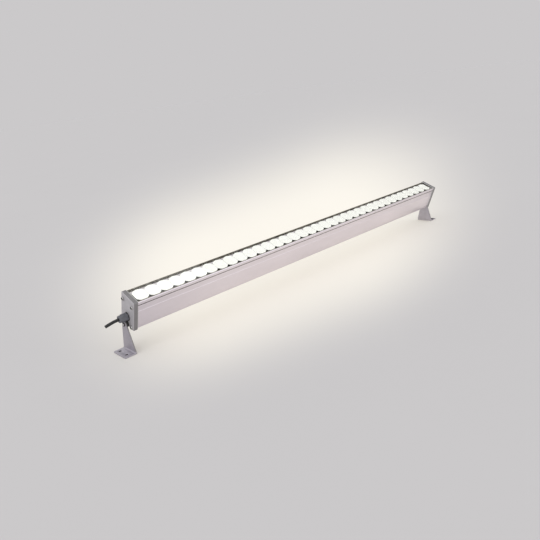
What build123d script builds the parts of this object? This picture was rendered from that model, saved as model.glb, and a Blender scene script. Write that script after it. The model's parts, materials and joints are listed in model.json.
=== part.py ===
"""Outdoor LED wall washer: a metre-long lamp in an extruded aluminium body, glazed along its top and
closed by two cast end caps, that tilts between two bent steel brackets. The feet stand on the plane
z = 0, X runs along the lamp away from the supply cable, and -Y is the side that the lamp leans to.
Millimetres and degrees."""

import os
from math import cos, pi, radians, sin, tan

from build123d import *

os.makedirs("parts", exist_ok=True)

# ---------------------------------------------------------------- driving dimensions
# Stance
pivot_height = 57.5
tilt = 23.0

# End caps
span = 1000.0
cap_width = 45.0
cap_height = 68.0
cap_thickness = 9.0
cap_corner = 1.2
cap_edge = 0.7
pivot_edge = 5.0
boss_radius = 7.0
boss_height = 1.0
pocket_width = 22.0
pocket_height = 27.0
pocket_depth = 5.0
pocket_floor = 27.0
gasket_thickness = 1.0
gasket_window_width = 20.0
gasket_window_height = 18.0
gasket_margin = 0.3

# Extruded body
body_width = 43.0
lip_drop = 0.5
lip_bevel = 2.0
wall = 2.5
cap_overhang = 7.0
floor_thickness = 2.2
body_corner = 3.0
web_thickness = 3.0
groove_drop = 8.3
groove_width = 1.2
groove_depth = 0.8
step_drop = 22.9
step_depth = 0.6
rail_clearance = 1.5
rail_width = 7.0
port_radius = 2.0
port_wall = 1.0
upper_port_drop = 12.9
lower_port_lift = 5.3

# Glazing
glass_recess = 0.3
glass_thickness = 5.0
glass_gap = 0.5
glass_edge = 0.4
tape_thickness = 0.8
tape_width = 2.4
ledge_thickness = 1.4

# Light engine
lens_pitch = 27.5
lens_end_margin = 2.0
lens_height = 13.0
lens_radius = 16.0
lens_flat_gap = 0.3
lens_rim = 2.0
lens_draw_in = 8.6
lens_facets = 12
lens_pocket_side = 7.0
lens_pocket_depth = 4.0
lens_top_gap = 0.3
led_size = 5.0
led_height = 1.5
board_width = 34.0
board_thickness = 1.6
board_gap = 2.0
rib_reach = 2.8
rib_thickness = 1.2
rib_gap = 0.2
link_length = 14.0
link_width = 7.0
link_height = 3.0
link_offset = 11.0

# Power supply
driver_length = 180.0
driver_width = 32.0
driver_headroom = 10.1
driver_inset = 44.0
driver_pad_thickness = 1.0
driver_pad_margin = 4.0
lead_cell = 3
lead_width = 5.6
lead_thickness = 1.8
lead_offset = 11.0
lead_gap = 0.4
grommet_length = 11.0
grommet_width = 7.0
grommet_groove = 1.0
grommet_rim = 1.2
grommet_gap = 0.2
connector_length = 16.0
connector_width = 6.0
connector_height = 3.0

# Cap screws
screw_clearance = 0.2
screw_fit = 0.05
screw_radius = 1.95
screw_grip = 12.0
screw_head_radius = 4.0
screw_head_height = 2.6

# Cable gland and supply cable
gland_height = 17.0
gland_thread_radius = 6.0
gland_thread_length = 8.5
gland_washer_radius = 8.9
gland_washer_thickness = 1.0
gland_across_flats = 15.0
gland_collar_length = 5.0
gland_neck_radius = 5.4
gland_neck_length = 4.0
gland_fit = 0.05
nut_hex_length = 8.0
nut_nose_radius = 7.3
nut_nose_length = 5.0
nut_nose_bevel = 2.2
nut_mouth_gap = 0.4
nut_wall_fit = 0.3
seal_ring_wall = 1.5
seal_ring_length = 9.0
cable_radius = 3.0

# Pivots
pivot_screw_radius = 2.5
pivot_fit = 0.08
pivot_thread_depth = 7.0
friction_washer_radius = 7.5
friction_washer_thickness = 4.0
pivot_across_flats = 8.0
pivot_head_height = 3.5

# Brackets
bracket_thickness = 2.5
bend_radius = 2.5
arm_top_radius = 7.5
foot_width = 47.0
foot_depth = 23.0
foot_corner = 2.0
foot_hole_radius = 2.75
foot_hole_depth = 14.0
foot_hole_spacing = 26.0

# Supply cable: its route from the gland's seal, as steps away from the lamp and down
cable_route = [(0.0, 0.0), (11.5, 0.0), (24.5, -1.1), (37.0, -3.8)]

# ---------------------------------------------------------------- the lamp's own frame
# Its origin is on the pivot axis, its Z square to the glass. Heights below are above the pivot axis.
lamp = Plane(
    origin=(0, 0, pivot_height),
    x_dir=(1, 0, 0),
    z_dir=(0, -sin(radians(tilt)), cos(radians(tilt))),
)


def across(station):
    """The plane across the lamp at a station of its length: local x across, local y up."""
    return Plane(
        origin=lamp.from_local_coords((station, 0, 0)), x_dir=lamp.y_dir, z_dir=lamp.x_dir
    )


def level(height, station=0.0, offset=0.0):
    """The plane square to the lamp's Z at a height, station and offset."""
    return Plane(
        origin=lamp.from_local_coords((station, offset, height)), x_dir=lamp.x_dir, z_dir=lamp.z_dir
    )


def outward(side, distance, height=0.0):
    """The plane across the lamp that looks out of the end on that side, at a distance from the middle."""
    return Plane(
        origin=lamp.from_local_coords((side * distance, 0, height)),
        x_dir=lamp.y_dir * side,
        z_dir=lamp.x_dir * side,
    )


def finish(piece, name):
    """Labels a finished piece and writes it."""
    piece.part.label = name
    export_step(piece.part, f"parts/{name}.step")


# Heights above the pivot axis
cap_bottom = -pivot_edge
cap_top = cap_bottom + cap_height
lip_top = cap_top - lip_drop
glass_top = lip_top - glass_recess
glass_bottom = glass_top - glass_thickness
ledge_top = glass_bottom - tape_thickness
lens_top = glass_bottom - lens_top_gap
board_top = lens_top - lens_height
web_top = board_top - board_thickness
web_bottom = web_top - web_thickness
body_bottom = cap_bottom + cap_overhang
floor_top = body_bottom + floor_thickness
rail_bottom = cap_bottom + rail_clearance
groove_middle = lip_top - groove_drop
step_height = lip_top - step_drop
upper_port = lip_top - upper_port_drop
lower_port = cap_bottom + lower_port_lift
gasket_bottom = lower_port + screw_radius + screw_clearance + gasket_margin

# Distances from the lamp's middle plane and from its mid length
body_half = body_width / 2
cavity_half = body_half - wall
port_offset = cavity_half - port_radius - port_wall
body_length = span - 2 * gasket_thickness
cap_inner = span / 2
cap_outer = cap_inner + cap_thickness
boss_face = cap_outer + boss_height
arm_inner = boss_face + friction_washer_thickness
arm_outer = arm_inner + bracket_thickness
foot_end = arm_outer + foot_depth
ends = {"left": -1, "right": 1}
port_places = [
    (side * port_offset, height) for side in (-1, 1) for height in (lower_port, upper_port)
]

# Each board carries as many lenses as it has room for, and the lead rises between two of them.
lens_count = 2 * int((body_length / 2 - lens_end_margin) // lens_pitch)
lead_station = (lead_cell - lens_count / 2) * lens_pitch

# ---------------------------------------------------------------- extruded body
with BuildPart() as housing:
    with BuildSketch(across(-body_length / 2)) as body_section:
        with BuildLine() as body_outline:
            Polyline(
                (0, body_bottom),
                (body_half, body_bottom),
                (body_half, step_height),
                (body_half - step_depth, step_height + step_depth),
                (body_half - step_depth, groove_middle - groove_width / 2),
                (body_half - groove_depth, groove_middle - groove_width / 2),
                (body_half - groove_depth, groove_middle + groove_width / 2),
                (body_half, groove_middle + groove_width / 2),
                (body_half, lip_top - lip_bevel),
                (body_half - lip_bevel, lip_top),
                (0, lip_top),
            )
            mirror(about=Plane.YZ)
        make_face()
        fillet(body_section.vertices().group_by(Axis.Y)[0], body_corner)
        # The two rails underneath hold the lower screw ports.
        with Locations((-port_offset, 0), (port_offset, 0)):
            with Locations((0, (rail_bottom + floor_top) / 2)):
                Rectangle(rail_width, floor_top - rail_bottom)
        # Light well over the web, and the driver's chamber under it.
        with Locations((0, (web_top + lip_top) / 2)):
            Rectangle(2 * cavity_half, lip_top - web_top, mode=Mode.SUBTRACT)
        with Locations((0, (floor_top + web_bottom) / 2)):
            Rectangle(2 * cavity_half, web_bottom - floor_top, mode=Mode.SUBTRACT)
        # Ledges that carry the glass, and the upper screw ports beside the walls.
        for side in (-1, 1):
            with Locations((side * (body_half - (wall + tape_width) / 2), ledge_top - ledge_thickness / 2)):
                Rectangle(wall + tape_width, ledge_thickness)
            with Locations((side * port_offset, upper_port)):
                Circle(port_radius + port_wall)
            with Locations((side * (port_offset + cavity_half) / 2, upper_port)):
                Rectangle(cavity_half - port_offset, port_radius + port_wall)
            # Ribs that hold the boards down by their edges.
            with Locations((side * (cavity_half - rib_reach / 2), board_top + rib_gap + rib_thickness / 2)):
                Rectangle(rib_reach, rib_thickness)
        with Locations(*port_places):
            Circle(port_radius, mode=Mode.SUBTRACT)
    extrude(amount=body_length)
    # The hole of the leads' grommet through the web
    with BuildSketch(level(web_bottom, lead_station, -lead_offset)):
        Rectangle(grommet_length - 2 * grommet_groove, grommet_width - 2 * grommet_groove)
    extrude(amount=web_thickness, mode=Mode.SUBTRACT)
finish(housing, "housing")

# ---------------------------------------------------------------- glazing
with BuildPart() as glass_tape:
    with BuildSketch(level(ledge_top)):
        Rectangle(body_length, 2 * cavity_half)
        Rectangle(body_length - 2 * tape_width, 2 * (cavity_half - tape_width), mode=Mode.SUBTRACT)
    extrude(amount=tape_thickness)
finish(glass_tape, "glass_tape")

with BuildPart() as glass_cover:
    with BuildSketch(level(glass_bottom)):
        Rectangle(body_length, 2 * (cavity_half - glass_gap))
    extrude(amount=glass_thickness)
    chamfer(glass_cover.edges().filter_by(Axis.X), glass_edge)
finish(glass_cover, "glass_cover")

# The seal is a silicone bead that fills the gap along each side of the glass.
with BuildPart() as glass_seal:
    with BuildSketch(level(glass_bottom)):
        with GridLocations(body_length, 2 * cavity_half - glass_gap, 1, 2):
            Rectangle(body_length, glass_gap)
    extrude(amount=glass_thickness)
finish(glass_seal, "glass_seal")

# ---------------------------------------------------------------- light engine
board_length = (body_length - board_gap) / 2
for end_name, side in ends.items():
    board_middle = side * (board_gap + board_length) / 2
    with BuildPart() as led_board:
        with BuildSketch(level(web_top, board_middle)):
            Rectangle(board_length, board_width)
        extrude(amount=board_thickness)
        if end_name == "left":
            with BuildSketch(level(web_top, lead_station, -lead_offset)):
                Rectangle(grommet_length + 2 * grommet_gap, grommet_width + 2 * grommet_gap)
            extrude(amount=board_thickness, mode=Mode.SUBTRACT)
    finish(led_board, f"led_board_{end_name}")

with BuildPart() as leds:
    with BuildSketch(level(board_top)):
        with GridLocations(lens_pitch, lens_pitch, lens_count, 1):
            Rectangle(led_size, led_size)
    extrude(amount=led_height)
finish(leds, "leds")

# One collimator: a faceted cone with a rim, a pocket for the LED and flats where it meets its neighbours.
with BuildPart() as lens:
    with BuildSketch():
        RegularPolygon(lens_radius, lens_facets)
    extrude(amount=lens_height)
    lens_base = lens.faces().sort_by(Axis.Z)[0]
    chamfer(lens_base.edges(), lens_draw_in, lens_height - lens_rim, reference=lens_base)
    with BuildSketch():
        Rectangle(lens_pocket_side, lens_pocket_side)
    extrude(amount=lens_pocket_depth, mode=Mode.SUBTRACT)
    with BuildSketch():
        Rectangle(lens_pitch - lens_flat_gap, 2 * lens_radius)
    extrude(amount=lens_height, mode=Mode.INTERSECT)

with BuildPart() as lenses:
    with Locations(level(board_top)):
        with GridLocations(lens_pitch, lens_pitch, lens_count, 1):
            add(lens.part)
finish(lenses, "lenses")

# The plug that carries the current from one board to the next.
with BuildPart() as board_link:
    with BuildSketch(level(board_top, 0, link_offset)):
        Rectangle(link_length, link_width)
    extrude(amount=link_height)
finish(board_link, "board_link")

# ---------------------------------------------------------------- power supply in the chamber
driver_end = span / 2 - driver_inset
driver_bottom = floor_top + driver_pad_thickness
driver_top = web_bottom - driver_headroom

with BuildPart() as driver_pad:
    with BuildSketch(level(floor_top, driver_length / 2 - driver_end)):
        Rectangle(driver_length - 2 * driver_pad_margin, driver_width - 2 * driver_pad_margin)
    extrude(amount=driver_pad_thickness)
finish(driver_pad, "driver_pad")

with BuildPart() as driver:
    with BuildSketch(level(driver_bottom, driver_length / 2 - driver_end)):
        Rectangle(driver_length, driver_width)
    extrude(amount=driver_top - driver_bottom)
finish(driver, "driver")

# A grooved bush lines the hole in the web, and the flat lead rises through it to a plug on the board.
with BuildPart() as lead_grommet:
    with BuildSketch(level(web_bottom - grommet_rim, lead_station, -lead_offset)):
        Rectangle(grommet_length, grommet_width)
    extrude(amount=web_thickness + 2 * grommet_rim)
    with BuildSketch(level(web_bottom, lead_station, -lead_offset)):
        Rectangle(grommet_length, grommet_width)
        Rectangle(
            grommet_length - 2 * grommet_groove,
            grommet_width - 2 * grommet_groove,
            mode=Mode.SUBTRACT,
        )
    extrude(amount=web_thickness, mode=Mode.SUBTRACT)
    with BuildSketch(level(web_bottom - grommet_rim, lead_station, -lead_offset)):
        Rectangle(lead_width + 2 * lead_gap, lead_thickness + 2 * lead_gap)
    extrude(amount=web_thickness + 2 * grommet_rim, mode=Mode.SUBTRACT)
finish(lead_grommet, "lead_grommet")

with BuildPart() as board_lead:
    with BuildSketch(level(driver_top, lead_station, -lead_offset)):
        Rectangle(lead_width, lead_thickness)
    extrude(amount=board_top - driver_top)
finish(board_lead, "board_lead")

with BuildPart() as feed_connector:
    with BuildSketch(level(board_top, lead_station, -lead_offset)):
        Rectangle(connector_length, connector_width)
    extrude(amount=connector_height)
finish(feed_connector, "feed_connector")

# ---------------------------------------------------------------- ends of the lamp
for end_name, side in ends.items():
    with BuildPart() as end_gasket:
        with BuildSketch(outward(side, body_length / 2)):
            with Locations((0, (gasket_bottom + lip_top) / 2)):
                Rectangle(body_width, lip_top - gasket_bottom)
            with Locations((0, gland_height)):
                Rectangle(gasket_window_width, gasket_window_height, mode=Mode.SUBTRACT)
            with Locations((-port_offset, upper_port), (port_offset, upper_port)):
                Circle(screw_radius + screw_clearance, mode=Mode.SUBTRACT)
        extrude(amount=gasket_thickness)
    finish(end_gasket, f"end_gasket_{end_name}")

    with BuildPart() as end_cap:
        with BuildSketch(outward(side, cap_inner)):
            with Locations((0, (cap_bottom + cap_top) / 2)):
                Rectangle(cap_width, cap_height)
        extrude(amount=cap_thickness)
        chamfer(end_cap.edges().filter_by(Axis.X), cap_corner)
        chamfer(end_cap.faces().sort_by(Axis.X)[-1 if side > 0 else 0].edges(), cap_edge)
        with BuildSketch(outward(side, cap_outer)):
            Circle(boss_radius)
        extrude(amount=boss_height)
        with BuildSketch(outward(side, cap_inner)):
            with Locations((0, pocket_floor + pocket_height / 2)):
                Rectangle(pocket_width, pocket_height)
        extrude(amount=pocket_depth, mode=Mode.SUBTRACT)
        with BuildSketch(outward(side, cap_inner)):
            with Locations(*port_places):
                Circle(screw_radius + screw_clearance)
        extrude(amount=cap_thickness, mode=Mode.SUBTRACT)
        with BuildSketch(outward(side, boss_face - pivot_thread_depth)):
            Circle(pivot_screw_radius + screw_fit)
        extrude(amount=pivot_thread_depth, mode=Mode.SUBTRACT)
        if end_name == "left":
            with BuildSketch(outward(side, cap_inner, gland_height)):
                Circle(gland_thread_radius + gland_fit)
            extrude(amount=cap_thickness, mode=Mode.SUBTRACT)
    finish(end_cap, f"end_cap_{end_name}")

with BuildPart() as cap_screws:
    for side in ends.values():
        with BuildSketch(outward(side, cap_outer)):
            with Locations(*port_places):
                Circle(screw_head_radius)
        extrude(amount=screw_head_height)
        with BuildSketch(outward(side, cap_outer)):
            with Locations(*port_places):
                Circle(screw_radius)
        extrude(amount=-(cap_thickness + gasket_thickness + screw_grip))
finish(cap_screws, "cap_screws")

# The pivots: a screw in each cap's boss holds the bracket's arm against a soft friction washer.
with BuildPart() as friction_washers:
    for side in ends.values():
        with BuildSketch(outward(side, boss_face)):
            Circle(friction_washer_radius)
            Circle(pivot_screw_radius + pivot_fit, mode=Mode.SUBTRACT)
        extrude(amount=friction_washer_thickness)
finish(friction_washers, "friction_washers")

with BuildPart() as pivot_screws:
    for side in ends.values():
        with BuildSketch(outward(side, arm_outer)):
            RegularPolygon(pivot_across_flats / 2, 6, major_radius=False)
        extrude(amount=pivot_head_height)
        with BuildSketch(outward(side, boss_face - pivot_thread_depth)):
            Circle(pivot_screw_radius)
        extrude(amount=arm_outer - boss_face + pivot_thread_depth)
finish(pivot_screws, "pivot_screws")

# ---------------------------------------------------------------- cable gland in the left cap
washer_face = cap_outer + gland_washer_thickness
collar_face = washer_face + gland_collar_length
seal_face = collar_face + gland_neck_length

with BuildPart() as gland_washer:
    with BuildSketch(outward(-1, cap_outer, gland_height)):
        Circle(gland_washer_radius)
        Circle(gland_thread_radius + gland_fit, mode=Mode.SUBTRACT)
    extrude(amount=gland_washer_thickness)
finish(gland_washer, "gland_washer")

with BuildPart() as gland_body:
    with BuildSketch(outward(-1, washer_face - gland_thread_length, gland_height)):
        Circle(gland_thread_radius)
    extrude(amount=gland_thread_length)
    with BuildSketch(outward(-1, washer_face, gland_height)):
        RegularPolygon(gland_across_flats / 2, 6, major_radius=False)
    extrude(amount=gland_collar_length)
    with BuildSketch(outward(-1, collar_face, gland_height)):
        Circle(gland_neck_radius)
    extrude(amount=gland_neck_length)
    with BuildSketch(outward(-1, washer_face - gland_thread_length, gland_height)):
        Circle(cable_radius + seal_ring_wall)
    extrude(amount=gland_thread_length + gland_collar_length + gland_neck_length, mode=Mode.SUBTRACT)
finish(gland_body, "gland_body")

with BuildPart() as gland_seal:
    with BuildSketch(outward(-1, seal_face - seal_ring_length, gland_height)):
        Circle(cable_radius + seal_ring_wall)
        Circle(cable_radius, mode=Mode.SUBTRACT)
    extrude(amount=seal_ring_length)
finish(gland_seal, "gland_seal")

# The nut: a hexagon with a bevelled nose, bored for the neck and for the cable.
with BuildPart() as gland_nut:
    with BuildSketch(outward(-1, collar_face, gland_height)):
        RegularPolygon(gland_across_flats / 2, 6, major_radius=False)
    extrude(amount=nut_hex_length)
    with BuildSketch(outward(-1, collar_face + nut_hex_length, gland_height)):
        Circle(nut_nose_radius)
    extrude(amount=nut_nose_length)
    chamfer(gland_nut.faces().sort_by(Axis.X)[0].edges(), nut_nose_bevel)
    with BuildSketch(outward(-1, collar_face, gland_height)):
        Circle(gland_neck_radius + nut_wall_fit)
    extrude(amount=gland_neck_length + nut_wall_fit, mode=Mode.SUBTRACT)
    with BuildSketch(outward(-1, collar_face, gland_height)):
        Circle(cable_radius + nut_mouth_gap)
    extrude(amount=nut_hex_length + nut_nose_length, mode=Mode.SUBTRACT)
finish(gland_nut, "gland_nut")

# Inside the gland and the chamber the cable runs straight to the driver.
with BuildPart() as inner_cable:
    with BuildSketch(outward(-1, driver_end, gland_height)):
        Circle(cable_radius)
    extrude(amount=seal_face - driver_end)
finish(inner_cable, "inner_cable")

# Outside it is a short stub that sags a little and ends in a bare cut.
route_start = lamp.from_local_coords((-seal_face, 0, gland_height))
route = [route_start + Vector(-away, 0, drop) for away, drop in cable_route]
runs = [after - before for before, after in zip(route, route[1:])]
bend_radii = [
    0.45 * min(run.length, following.length) / tan(radians(run.get_angle(following) / 2))
    for run, following in zip(runs, runs[1:])
]
with BuildPart() as supply_cable:
    with BuildLine() as cable_line:
        FilletPolyline(*route, radius=bend_radii)
    with BuildSketch(Plane(origin=route_start, z_dir=(-1, 0, 0))):
        Circle(cable_radius)
    sweep(path=cable_line.line)
finish(supply_cable, "supply_cable")
cable_length = sum(edge.length for edge in cable_line.edges())
swept_share = supply_cable.part.volume / (pi * cable_radius**2 * cable_length)
print("cable radii", [round(radius, 1) for radius in bend_radii], "length", round(cable_length, 2))
print("cable volume against section times length", round(swept_share, 4))

# ---------------------------------------------------------------- brackets
with BuildPart() as right_bracket:
    with BuildSketch(Plane.XZ) as bracket_side:
        with BuildLine():
            Polyline(
                (arm_inner, 0),
                (foot_end, 0),
                (foot_end, bracket_thickness),
                (arm_outer, bracket_thickness),
                (arm_outer, pivot_height + arm_top_radius),
                (arm_inner, pivot_height + arm_top_radius),
                close=True,
            )
        make_face()
        corners = bracket_side.vertices()
        inside = corners.sort_by_distance((arm_outer, bracket_thickness))[0]
        outside = corners.sort_by_distance((arm_inner, 0))[0]
        fillet(inside, bend_radius)
        fillet(outside, bend_radius + bracket_thickness)
    extrude(amount=foot_width / 2, both=True)
    # Seen along the lamp, the arm narrows from the foot's width to a round top about the pivot.
    with BuildSketch(Plane.YZ.offset(arm_inner)):
        with Locations((0, pivot_height)):
            Circle(arm_top_radius)
        with Locations((0, (bend_radius + bracket_thickness) / 2)):
            Rectangle(foot_width, bend_radius + bracket_thickness)
        make_hull()
    extrude(amount=bracket_thickness + foot_depth, mode=Mode.INTERSECT)
    fillet(right_bracket.edges().filter_by(Axis.Z).group_by(Axis.X)[-1], foot_corner)
    with BuildSketch(Plane.YZ.offset(arm_inner)):
        with Locations((0, pivot_height)):
            Circle(pivot_screw_radius + pivot_fit)
    extrude(amount=bracket_thickness, mode=Mode.SUBTRACT)
    with BuildSketch(Plane.XY):
        with Locations((arm_outer + foot_hole_depth, 0)):
            with GridLocations(foot_hole_spacing, foot_hole_spacing, 1, 2):
                Circle(foot_hole_radius)
    extrude(amount=bracket_thickness, mode=Mode.SUBTRACT)
finish(right_bracket, "right_bracket")

with BuildPart() as left_bracket:
    mirror(right_bracket.part, about=Plane.YZ)
finish(left_bracket, "left_bracket")
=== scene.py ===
"""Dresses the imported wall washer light: finishes for every piece, and finer meshes where the light
shows them. Metres. X runs along the lamp, away from its cable, -Y is the side that the lamp leans to,
and the feet stand on the floor, z = 0. The lamp's own frame has its origin on the pivot axis and its Z
square to the glass."""

import json
from math import atan2, cos, pi, radians, sin

import bmesh
import bpy
from mathutils import Matrix, Vector


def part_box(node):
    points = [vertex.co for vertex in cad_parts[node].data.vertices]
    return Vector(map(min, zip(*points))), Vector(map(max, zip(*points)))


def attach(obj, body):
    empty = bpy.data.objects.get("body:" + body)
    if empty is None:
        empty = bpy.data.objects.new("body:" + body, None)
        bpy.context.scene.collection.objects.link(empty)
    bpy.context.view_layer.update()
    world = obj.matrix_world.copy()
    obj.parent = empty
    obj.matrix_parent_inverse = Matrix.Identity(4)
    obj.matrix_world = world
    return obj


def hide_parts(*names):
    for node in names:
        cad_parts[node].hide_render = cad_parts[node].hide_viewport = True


bl_info = {
    "name": "Wall Washer Light",
    "version": (1, 0, 0),
    "blender": (4, 5, 0),
    "location": "View3D > Sidebar > Wall Washer",
    "description": "Finishes and fine pieces of a linear outdoor wall washer light",
    "category": "Object",
}

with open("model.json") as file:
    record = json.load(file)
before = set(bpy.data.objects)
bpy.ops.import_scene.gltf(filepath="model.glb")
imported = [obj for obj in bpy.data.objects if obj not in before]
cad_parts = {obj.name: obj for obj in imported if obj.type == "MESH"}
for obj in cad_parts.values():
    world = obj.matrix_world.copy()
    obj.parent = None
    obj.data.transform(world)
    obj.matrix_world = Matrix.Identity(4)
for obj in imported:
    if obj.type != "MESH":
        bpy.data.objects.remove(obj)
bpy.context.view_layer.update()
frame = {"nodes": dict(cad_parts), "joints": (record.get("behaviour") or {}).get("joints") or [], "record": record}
MM = 0.001

# The lamp's own frame, found from the pivot and from the middle of the glass
PIVOT = Vector(frame["joints"][0]["pos_m"])
GLASS_MIDDLE = sum(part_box("glass_cover"), Vector()) / 2
TILT = atan2(PIVOT.y - GLASS_MIDDLE.y, GLASS_MIDDLE.z - PIVOT.z)
LAMP = Matrix.Translation((0, PIVOT.y, PIVOT.z)) @ Matrix.Rotation(TILT, 4, "X")

# The supply cable's route from the gland, as steps away from the lamp and down
CABLE_ROUTE = [(0.0, 0.0), (0.0115, 0.0), (0.0245, -0.0011), (0.0370, -0.0038)]

# Half of a collimator's outline, in millimetres as (radius, height): the hollow over its LED, its foot
# and its flared side. Then its dished face, as shares of the face's radius and depths in millimetres
COLLIMATOR_SIDE = [(0, 4.0), (4.0, 3.2), (4.2, 0), (7.0, 0), (10.0, 3.6), (12.8, 7.6)]
COLLIMATOR_DISH = [(0.55, 0.7), (0.35, 1.1), (0.18, 0.9), (0, 0.8)]

# Material numbers of the faces of the body, of a cap, of a bracket, of a lens and, past 0, of a screw
# The groove's faces are painted shade
# The well's walls glow: painted light for what the lenses spill on them
BODY_FINISH, GROOVE_SHADE, PAINTED_SPILL_WELL, SEALANT = range(4)
# The cap's rim is painted shade
CAP_FACE, CAP_RIM_SHADE = range(2)
# The bolt holes' walls and the arm's cut edges are painted shade
SHEET, HOLE_WALL_SHADE, CUT_EDGE_SHADE = range(3)
# The lens sides are painted shade
LENS_FACE, LENS_SIDE_SHADE = range(2)
# The screws' sockets and the pivot screws' hexagons are painted shade
SCREW_SHADE = 1

# Nearly all values of a noise pattern lie between these two
NOISE_LOW, NOISE_HIGH = 0.3, 0.7

SENSOR_WIDTH = 36.0
WELD = 0.000001


def lamp_box(node):
    """Lowest and highest corner of a node in the lamp's own frame."""
    inverse = LAMP.inverted()
    places = [inverse @ vertex.co for vertex in frame["nodes"][node].data.vertices]
    lowest = Vector([min(place[axis] for place in places) for axis in range(3)])
    highest = Vector([max(place[axis] for place in places) for axis in range(3)])
    return lowest, highest


# ---------------------------------------------------------------- settings
def number_setting(name, description, default, **options):
    """A single number."""
    return bpy.props.FloatProperty(name=name, description=description, default=default, **options)


def vector_setting(name, description, default, subtype="DIRECTION", **options):
    """Three numbers, which are a direction where nothing else is said."""
    return bpy.props.FloatVectorProperty(
        name=name, description=description, default=default, subtype=subtype, size=3, **options)


def colour_setting(name, description, default):
    """A colour, as red, green and blue shares."""
    return vector_setting(name, description, default, "COLOR", min=0, max=1)


def length_setting(name, description, millimetres):
    """A length, which is written in millimetres and kept in metres."""
    return number_setting(name, description, millimetres * MM, unit="LENGTH")


class WasherFinishSettings(bpy.types.PropertyGroup):
    """Colours and surface values of the light's materials."""

    body_colour: colour_setting(
        "Body colour", "Anodised aluminium of the extruded body", (0.75, 0.697, 0.752))
    cap_colour: colour_setting("Cap colour", "Coat of the cast end caps", (0.475, 0.458, 0.478))
    # Painted shade: the caps' rims, which turn from the light, get the cap's coat made darker
    rim_shade_colour: colour_setting(
        "Cap rim colour", "Coat of the caps' rims, where it lies thicker and darker", (0.24, 0.23, 0.235))
    # Painted shade: the groove's bottom and a strip of wall just below it are painted near black
    groove_shade_colour: colour_setting(
        "Groove colour", "The shaded bottom of the body's side grooves", (0.03, 0.028, 0.028))
    bracket_colour: colour_setting("Bracket colour", "Satin steel of the brackets", (0.45, 0.425, 0.472))
    # Painted shade: the arm's cut edges are a darker steel
    edge_shade_colour: colour_setting(
        "Edge colour", "Sheared edges of the bracket's sheet", (0.26, 0.25, 0.255))
    gland_colour: colour_setting("Gland colour", "Nylon of the cable gland", (0.125, 0.127, 0.145))
    cable_colour: colour_setting("Cable colour", "Jacket of the supply cable", (0.012, 0.012, 0.013))
    rubber_colour: colour_setting(
        "Rubber colour", "Rubber of the gland, the washers and the grommet", (0.030, 0.029, 0.028))
    seal_colour: colour_setting(
        "Seal colour", "Brown-grey sealant and tape round the glass", (0.29, 0.265, 0.22))
    screw_colour: colour_setting("Screw colour", "Stainless steel of the screws", (0.52, 0.51, 0.505))
    # Painted shade: the pivot screws' hexagon flats are a dark steel, so that the bright crown stands in a dark
    # ring
    hexagon_shade_colour: colour_setting(
        "Blued steel colour", "Blued flats of the pivot screws' hexagons", (0.10, 0.09, 0.095))
    light_colour: colour_setting("Light colour", "Warm white of the lit lenses", (1.0, 0.985, 0.92))
    light_strength: number_setting("Light strength", "Emission of the lit lenses", 1.15, min=0)
    # Painted light: the well's walls glow with this strength, for the light that the lenses spill on them
    painted_spill_strength: number_setting(
        "Spill strength", "Light that the lenses spill on the walls beside them", 0.25, min=0)


class WasherShapeSettings(bpy.types.PropertyGroup):
    """Sizes of the finer forms that this script adds."""

    edge_round: length_setting("Edge rounding", "Rounding of the sheet and extrusion edges", 0.25)
    cap_round: length_setting("Cap rounding", "Rounding of the cast caps' edges", 0.35)
    # Heights of the painted shade, which reaches a little below the groove
    groove_shade_bottom: length_setting(
        "Groove bottom", "Height of the shaded groove's lower edge above the pivot", 52.9)
    groove_shade_top: length_setting(
        "Groove top", "Height of the shaded groove's upper edge above the pivot", 54.9)
    sealant_bottom: length_setting(
        "Sealant bottom", "Height above the pivot down to which the sealant is smeared over the lip", 61.75)
    screw_head_round: length_setting("Screw head rounding", "Rounding of the cap screws' heads", 1.0)
    socket_across_flats: length_setting("Socket across flats", "Hexagon socket of the cap screws", 4.6)
    socket_depth: length_setting("Socket depth", "Depth of that socket", 1.8)
    screw_head_radius: length_setting("Screw head radius", "Radius of the cap screws' heads", 4.0)
    screw_shank_radius: length_setting("Screw shank radius", "Radius of the cap screws' shanks", 1.95)
    screw_length: length_setting("Screw length", "Length of the cap screws under their heads", 22.0)
    pivot_across_flats: length_setting("Pivot across flats", "Hexagon of the pivot screws", 8.0)
    pivot_shank_radius: length_setting("Pivot shank radius", "Radius of the pivot screws' shanks", 2.5)
    pivot_length: length_setting("Pivot length", "Length of the pivot screws under their heads", 13.5)
    crown_radius: length_setting("Crown radius", "Radius of the domed crown on a pivot screw", 3.2)
    gland_across_flats: length_setting("Gland across flats", "Hexagons of the gland's body and nut", 15.0)
    gland_thread_radius: length_setting(
        "Gland thread radius", "Radius of the gland's thread in the cap", 6.0)
    gland_thread_length: length_setting("Gland thread length", "Length of that thread", 8.5)
    nut_hexagon_length: length_setting("Nut hexagon length", "Length of the gland nut's hexagon", 8.0)
    nut_neck_length: length_setting(
        "Nut neck length", "Length of the round neck between that hexagon and the dome", 3.2)
    nut_tip_radius: length_setting("Nut tip radius", "Radius of the gland nut's dome at its tip", 5.6)
    nut_dome_drop: length_setting("Nut dome drop", "How much wider the dome is at its neck", 1.7)
    lens_pitch: length_setting("Lens pitch", "Distance from one collimator to the next", 27.5)
    lens_gap: length_setting("Lens gap", "Gap between the flats of two collimators", 0.3)
    lens_rim: length_setting("Lens rim", "Width of the raised rim round the optical face", 1.0)


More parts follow.
